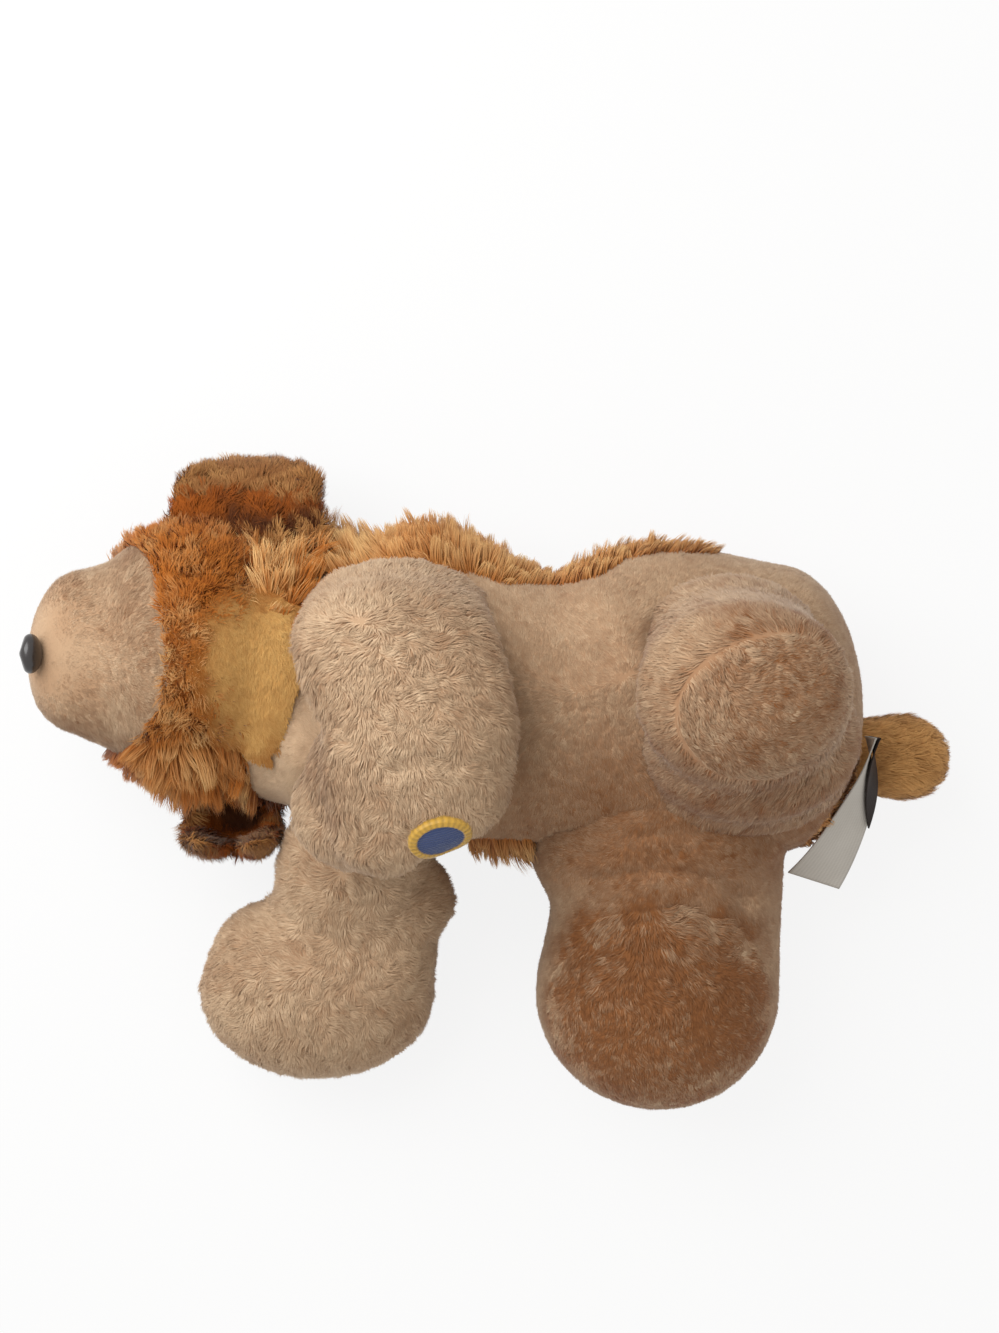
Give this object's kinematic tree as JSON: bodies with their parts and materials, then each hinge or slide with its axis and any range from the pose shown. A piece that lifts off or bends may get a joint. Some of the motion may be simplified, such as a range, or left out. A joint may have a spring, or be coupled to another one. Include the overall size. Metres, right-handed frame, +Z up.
{
  "type": "plush toy dog",
  "caption": "Stuffed toy spaniel lying on its back, with sewn plush panels, floppy ears, soft swinging legs, a stub tail and sewn-in labels",
  "frame": {"origin": "middle of the flat of the back, on the surface that the toy lies on", "axes": "+Z up through the belly, +X towards the tail, +Y towards the dog's left side"},
  "size_m": [0.2432, 0.1781, 0.1045],
  "materials": {
    "cream_plush": "short-pile cream plush",
    "golden_brown_plush": "long-pile golden-brown plush",
    "pale_gold_plush": "short-pile pale gold plush",
    "ear_lining": "smooth brushed lining",
    "stuffing": "loose polyester fibre",
    "pellet_cloth": "thin bag filled with plastic pellets",
    "black_plastic": "moulded gloss black",
    "washer_plastic": "moulded white",
    "white_ribbon": "blank satin ribbon",
    "dark_ribbon": "blank woven ribbon",
    "patch_thread": "satin-stitched thread"
  },
  "bodies": {
    "torso": {"belly_panel": "cream_plush", "back_panel": "golden_brown_plush", "throat_panel": "pale_gold_plush", "nape_panel": "golden_brown_plush", "body_stuffing": "stuffing", "pellet_bag": "pellet_cloth"},
    "head": {"head_panel": "golden_brown_plush", "muzzle_panel": "cream_plush", "head_stuffing": "stuffing", "nose": "black_plastic", "nose_washer": "washer_plastic", "left_eye": "black_plastic", "left_eye_washer": "washer_plastic", "right_eye": "black_plastic", "right_eye_washer": "washer_plastic"},
    "left_ear": {"left_ear_fur": "golden_brown_plush", "left_ear_lining": "ear_lining"},
    "right_ear": {"right_ear_fur": "golden_brown_plush", "right_ear_lining": "ear_lining"},
    "left_front_leg": {"left_front_leg_skin": "cream_plush", "left_front_leg_stuffing": "stuffing", "paw_patch": "patch_thread"},
    "right_front_leg": {"right_front_leg_skin": "cream_plush", "right_front_leg_stuffing": "stuffing"},
    "left_hind_leg": {"left_hind_leg_skin": "cream_plush", "left_hind_leg_stuffing": "stuffing"},
    "right_hind_leg": {"right_hind_leg_skin": "cream_plush", "right_hind_leg_stuffing": "stuffing"},
    "tail": {"tail_skin": "golden_brown_plush", "tail_stuffing": "stuffing"},
    "labels": {"care_label": "white_ribbon", "dark_label": "dark_ribbon"}
  },
  "joints": [
    {"name": "neck_nod", "type": "hinge", "parent": "torso", "child": "head", "pos_m": [-0.079, 0.011, 0.034], "axis": [0, 1, 0], "range_deg": [-10, 20]},
    {"name": "left_ear_flap", "type": "hinge", "parent": "head", "child": "left_ear", "pos_m": [-0.095, 0.05535, 0.028], "axis": [1, 0, 0], "range_deg": [0, 70]},
    {"name": "right_ear_flap", "type": "hinge", "parent": "head", "child": "right_ear", "pos_m": [-0.0965, -0.02835, 0.028], "axis": [-1, 0, 0], "range_deg": [0, 70]},
    {"name": "left_front_leg_swing", "type": "hinge", "parent": "torso", "child": "left_front_leg", "pos_m": [-0.048, 0.026, 0.056], "axis": [-1, 0, 0], "range_deg": [0, 90]},
    {"name": "right_front_leg_swing", "type": "hinge", "parent": "torso", "child": "right_front_leg", "pos_m": [-0.05, -0.024, 0.04], "axis": [0, 0, 1], "range_deg": [0, 20]},
    {"name": "left_hind_leg_swing", "type": "hinge", "parent": "torso", "child": "left_hind_leg", "pos_m": [0.036, 0.019, 0.057], "axis": [-1, 0, 0], "range_deg": [0, 45]},
    {"name": "right_hind_leg_swing", "type": "hinge", "parent": "torso", "child": "right_hind_leg", "pos_m": [0.027, -0.03, 0.034], "axis": [-1, 0, 0], "range_deg": [0, 35]},
    {"name": "tail_wag", "type": "hinge", "parent": "torso", "child": "tail", "pos_m": [0.07, -0.011, 0.024], "axis": [0, 0, 1], "range_deg": [-20, 20]},
    {"name": "label_flap", "type": "hinge", "parent": "torso", "child": "labels", "pos_m": [0.073, -0.005, 0.047], "axis": [0, 0, 1], "range_deg": [0, 50]}
  ]
}
